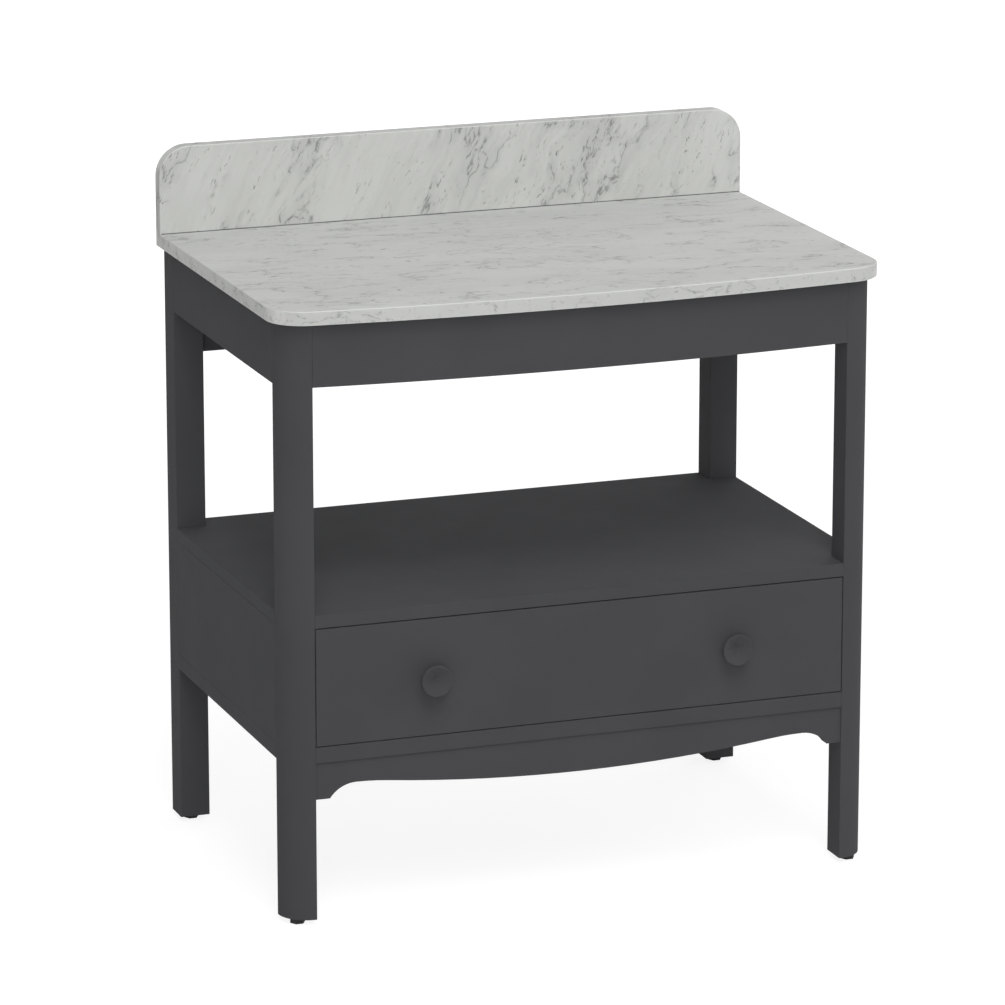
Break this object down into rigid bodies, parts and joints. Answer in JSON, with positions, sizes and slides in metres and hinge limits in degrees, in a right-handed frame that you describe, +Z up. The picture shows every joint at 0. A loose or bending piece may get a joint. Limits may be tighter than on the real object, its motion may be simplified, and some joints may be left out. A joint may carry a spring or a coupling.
{
  "type": "vanity unit",
  "caption": "Painted timber washstand with a bowed marble worktop and upstand, an open shelf bay, a wide drawer on full-extension runners and adjustable feet.",
  "frame": {"origin": "on the floor under the middle of the part's bounding box", "axes": "+Z up, +X to the right seen from the front, -Y out of the front, so the drawer opens along -Y"},
  "size_m": [0.9, 0.5899, 1.007],
  "materials": {
    "marble": "honed light grey marble with grey veins",
    "paint": "timber and board painted charcoal grey, eggshell sheen",
    "drawer_timber": "clear lacquered pale hardwood",
    "bare_timber": "bare softwood",
    "runner_steel": "bright zinc plate",
    "bearing_steel": "polished",
    "zinc_steel": "zinc plate",
    "foot_plastic": "black moulded nylon"
  },
  "bodies": {
    "frame": {"apron": "paint", "apron_glue_blocks": "bare_timber", "back_panel": "paint", "bottom_board": "paint", "case_dowels": "bare_timber", "foot_inserts": "zinc_steel", "leg_back_left": "paint", "leg_back_right": "paint", "leg_front_left": "paint", "leg_front_right": "paint", "runner_batten_left": "bare_timber", "runner_batten_right": "bare_timber", "runner_case_left": "runner_steel", "runner_case_right": "runner_steel", "runner_screws_case": "zinc_steel", "shelf_board": "paint", "side_panel_left": "paint", "side_panel_right": "paint", "top_rail_back": "paint", "top_rail_front": "paint", "top_rail_left": "paint", "top_rail_right": "paint", "upstand": "marble", "worktop": "marble"},
    "drawer": {"drawer_base": "drawer_timber", "drawer_box_back": "drawer_timber", "drawer_box_front": "drawer_timber", "drawer_box_side_left": "drawer_timber", "drawer_box_side_right": "drawer_timber", "drawer_front": "paint", "drawer_front_screws": "zinc_steel", "knob_left": "paint", "knob_right": "paint", "knob_screws": "zinc_steel", "runner_drawer_left": "runner_steel", "runner_drawer_right": "runner_steel", "runner_screws_drawer": "zinc_steel"},
    "cage_case_left": {"ball_cage_case_left": "bearing_steel", "balls_case_left": "bearing_steel"},
    "cage_case_right": {"ball_cage_case_right": "bearing_steel", "balls_case_right": "bearing_steel"},
    "cage_drawer_left": {"ball_cage_drawer_left": "bearing_steel", "balls_drawer_left": "bearing_steel"},
    "cage_drawer_right": {"ball_cage_drawer_right": "bearing_steel", "balls_drawer_right": "bearing_steel"},
    "foot_back_left": {"foot_pad_back_left": "foot_plastic", "foot_stem_back_left": "zinc_steel"},
    "foot_back_right": {"foot_pad_back_right": "foot_plastic", "foot_stem_back_right": "zinc_steel"},
    "foot_front_left": {"foot_pad_front_left": "foot_plastic", "foot_stem_front_left": "zinc_steel"},
    "foot_front_right": {"foot_pad_front_right": "foot_plastic", "foot_stem_front_right": "zinc_steel"},
    "runner_middle_left": {"runner_middle_left": "runner_steel"},
    "runner_middle_right": {"runner_middle_right": "runner_steel"}
  },
  "joints": [
    {"name": "drawer_slide", "type": "slide", "parent": "frame", "child": "drawer", "axis": [0, -1, 0], "range_m": [0, 0.45]},
    {"name": "runner_middle_left_slide", "type": "slide", "parent": "frame", "child": "runner_middle_left", "axis": [0, -1, 0], "range_m": [0, 0.225]},
    {"name": "cage_case_left_slide", "type": "slide", "parent": "frame", "child": "cage_case_left", "axis": [0, -1, 0], "range_m": [0, 0.1125]},
    {"name": "cage_drawer_left_slide", "type": "slide", "parent": "frame", "child": "cage_drawer_left", "axis": [0, -1, 0], "range_m": [0, 0.3375]},
    {"name": "runner_middle_right_slide", "type": "slide", "parent": "frame", "child": "runner_middle_right", "axis": [0, -1, 0], "range_m": [0, 0.225]},
    {"name": "cage_case_right_slide", "type": "slide", "parent": "frame", "child": "cage_case_right", "axis": [0, -1, 0], "range_m": [0, 0.1125]},
    {"name": "cage_drawer_right_slide", "type": "slide", "parent": "frame", "child": "cage_drawer_right", "axis": [0, -1, 0], "range_m": [0, 0.3375]},
    {"name": "foot_front_left_screw", "type": "slide", "parent": "frame", "child": "foot_front_left", "axis": [0, 0, -1], "range_m": [0, 0.01]},
    {"name": "foot_front_right_screw", "type": "slide", "parent": "frame", "child": "foot_front_right", "axis": [0, 0, -1], "range_m": [0, 0.01]},
    {"name": "foot_back_left_screw", "type": "slide", "parent": "frame", "child": "foot_back_left", "axis": [0, 0, -1], "range_m": [0, 0.01]},
    {"name": "foot_back_right_screw", "type": "slide", "parent": "frame", "child": "foot_back_right", "axis": [0, 0, -1], "range_m": [0, 0.01]}
  ],
  "couplings": [
    {"joint": "runner_middle_left_slide", "follows": "drawer_slide", "ratio": 0.5},
    {"joint": "cage_case_left_slide", "follows": "drawer_slide", "ratio": 0.25},
    {"joint": "cage_drawer_left_slide", "follows": "drawer_slide", "ratio": 0.75},
    {"joint": "runner_middle_right_slide", "follows": "drawer_slide", "ratio": 0.5},
    {"joint": "cage_case_right_slide", "follows": "drawer_slide", "ratio": 0.25},
    {"joint": "cage_drawer_right_slide", "follows": "drawer_slide", "ratio": 0.75}
  ]
}
